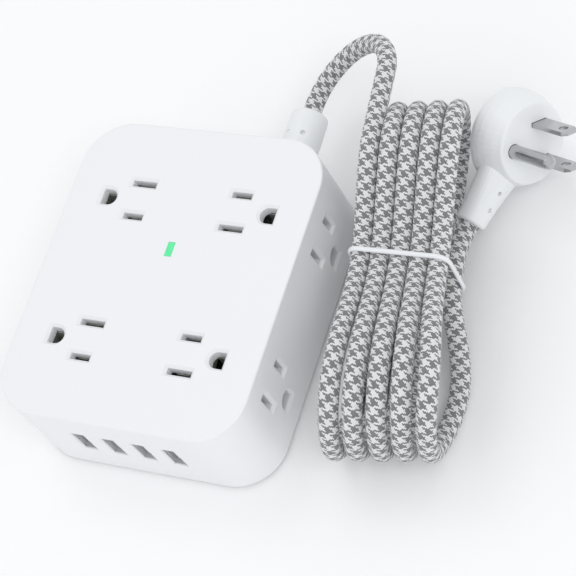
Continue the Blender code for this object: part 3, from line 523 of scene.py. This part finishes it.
def add_tie(mat):
    """A soft moulded band, oval in section, drawn round the hank."""
    line = tie_line()
    along = hank_forward()
    mesh = bmesh.new()
    rings = []
    for index, centre in enumerate(line):
        tangent = (line[(index + 1) % len(line)] - line[index - 1]).normalized()
        outward = tangent.cross(along).normalized()
        wide, thick = along * TIE_WIDE / 2, outward * TIE_THICK / 2
        rings.append(ring_of(mesh, centre, wide, thick, TIE_SIDES))
    for index, lower in enumerate(rings):
        upper = rings[(index + 1) % len(rings)]
        for k in range(TIE_SIDES):
            m = (k + 1) % TIE_SIDES
            mesh.faces.new((lower[k], lower[m], upper[m], upper[k]))
    bmesh.ops.recalc_face_normals(mesh, faces=mesh.faces)
    return add_object("hank_tie", mesh, mat)


# ---------------------------------------------------------------- materials of the CAD nodes

def paint(node, mat):
    """Give a CAD node one material."""
    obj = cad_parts[node]
    obj.data.materials.clear()
    obj.data.materials.append(mat)


def paint_nodes():
    """Materials by kind of piece, and one of its own for each piece in the table."""
    white = grained("moulded_white", (0.87, 0.875, 0.89), 0.42,
                    grain=0.35 * MM, relief=0.004 * MM, tone=0.015)
    plug_white = grained("plug_white", (0.86, 0.87, 0.885), 0.4,
                         grain=0.4 * MM, relief=0.005 * MM, tone=0.02)
    contact = grained("contact_metal", (0.56, 0.55, 0.52), 0.38, 0.55, grain=0.2 * MM)
    nickel = grained("nickel_plate", (0.52, 0.52, 0.53), 0.22, 1.0,
                     grain=0.15 * MM, relief=0.003 * MM)
    steel = grained("plated_steel", (0.6, 0.61, 0.63), 0.3, 1.0,
                    grain=0.15 * MM, relief=0.003 * MM)
    usb_shell = grained("usb_shell_plate", (0.74, 0.74, 0.75), 0.34, 0.55,
                        grain=0.15 * MM, relief=0.003 * MM)
    rubber = grained("foot_rubber", (0.4, 0.4, 0.41), 0.8, grain=0.3 * MM, relief=0.02 * MM)
    board = grained("solder_mask", (0.03, 0.2, 0.09), 0.4,
                    grain=0.5 * MM, relief=0.01 * MM, tone=0.3)
    insulator = grained("tongue_white", (0.86, 0.87, 0.88), 0.5, grain=0.2 * MM)
    others = {
        "thermal_fuse": ((0.6, 0.45, 0.3), 0.5),
        "filter_capacitor": ((0.75, 0.58, 0.1), 0.4),
        "usb_transformer": ((0.08, 0.08, 0.09), 0.6),
        "usb_capacitor": ((0.05, 0.05, 0.06), 0.4),
        "breaker_body": ((0.05, 0.05, 0.055), 0.45),
        "reset_button": ((0.84, 0.85, 0.86), 0.4),
        "line_lead": ((0.03, 0.03, 0.03), 0.5),
        "breaker_lead": ((0.03, 0.03, 0.03), 0.5),
        "neutral_lead": ((0.8, 0.8, 0.8), 0.5),
        "ground_lead": ((0.05, 0.3, 0.1), 0.5),
        "indicator_led": ((0.1, 0.7, 0.3), 0.25),
    }
    for number in (1, 2, 3):
        others[f"varistor_{number}"] = ((0.05, 0.12, 0.4), 0.45)
    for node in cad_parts:
        if node.endswith("_bar"):
            paint(node, contact)
        elif node in ("top_shell", "base_cover"):
            paint(node, white)
        elif node in ("strain_relief", "plug_body"):
            paint(node, plug_white)
        elif node.startswith("usb_port"):
            paint(node, usb_shell)
        elif node.startswith("cover_screw"):
            paint(node, steel)
        elif node.startswith("usb_tongue"):
            paint(node, insulator)
        elif node.startswith("foot_"):
            paint(node, rubber)
        elif node.endswith("_board"):
            paint(node, board)
        elif node.startswith("plug_"):
            paint(node, nickel)
        elif node in others:
            colour, roughness = others[node]
            paint(node, grained(node + "_surface", colour, roughness))
    paint("indicator_window", lens_material())


# ---------------------------------------------------------------- stage

def add_floor():
    """A pale floor just under the resting surface."""
    mesh = bmesh.new()
    corners = ((-1, -1), (1, -1), (1, 1), (-1, 1))
    mesh.faces.new([mesh.verts.new((x * FLOOR_HALF, y * FLOOR_HALF, 0)) for x, y in corners])
    floor_paint = grained("studio_floor", (0.97, 0.97, 0.975), 0.9,
                          grain=2 * MM, relief=0.001 * MM, tone=0.005)
    floor = add_object("studio_floor", mesh, floor_paint, smooth=False)
    floor.location.z = -FLOOR_BELOW


def add_lamp(name, at, look, size, power):
    """A round white lamp aimed at a point."""
    light = bpy.data.lights.new(name, "AREA")
    light.shape = "DISK"
    light.size = size
    light.energy = power
    obj = bpy.data.objects.new(name, light)
    bpy.context.scene.collection.objects.link(obj)
    obj.location = at
    obj.rotation_euler = (Vector(look) - Vector(at)).to_track_quat("-Z", "Y").to_euler()


def add_stage():
    """Floor, sky and lamps."""
    add_floor()
    world = bpy.data.worlds.new("studio")
    world.use_nodes = True
    background = world.node_tree.nodes["Background"]
    background.inputs[0].default_value = SKY_COLOUR
    background.inputs[1].default_value = SKY_STRENGTH
    bpy.context.scene.world = world
    for name, (at, look, size, power) in LAMPS.items():
        add_lamp(name, at, look, size, power)
    bpy.context.scene.view_settings.view_transform = "Standard"


def add_camera():
    """The camera, above the block and to its front right."""
    data = bpy.data.cameras.new("camera")
    data.sensor_width = CAMERA_SENSOR
    data.lens = CAMERA_LENS
    data.shift_x, data.shift_y = CAMERA_SHIFT
    data.clip_start, data.clip_end = CAMERA_CLIP
    camera = bpy.data.objects.new("camera", data)
    bpy.context.scene.collection.objects.link(camera)
    back = -CAMERA_LOOKS.normalized()
    right = CAMERA_UP.cross(back).normalized()
    up = back.cross(right)
    turned = Matrix((right, up, back)).transposed().to_4x4()
    camera.matrix_world = Matrix.Translation(CAMERA_AT) @ turned
    bpy.context.scene.camera = camera


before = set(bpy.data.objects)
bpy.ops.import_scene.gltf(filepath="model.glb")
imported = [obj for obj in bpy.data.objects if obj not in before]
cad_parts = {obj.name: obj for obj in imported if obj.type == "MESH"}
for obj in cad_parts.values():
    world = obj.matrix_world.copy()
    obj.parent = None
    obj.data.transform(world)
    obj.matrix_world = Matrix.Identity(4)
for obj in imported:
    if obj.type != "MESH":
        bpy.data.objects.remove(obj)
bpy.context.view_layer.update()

add_camera()
add_stage()
paint_nodes()

line = cord_line()
lead = add_cord(line)
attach(lead, "housing")
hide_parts("cord_run", "cord_hank", "cord_tail")
tie_vinyl = grained("tie_vinyl", (0.85, 0.86, 0.88), 0.45,
                    grain=0.3 * MM, relief=0.004 * MM, tone=0.02)
tie = add_tie(tie_vinyl)
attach(tie, "housing")
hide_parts("cord_tie")
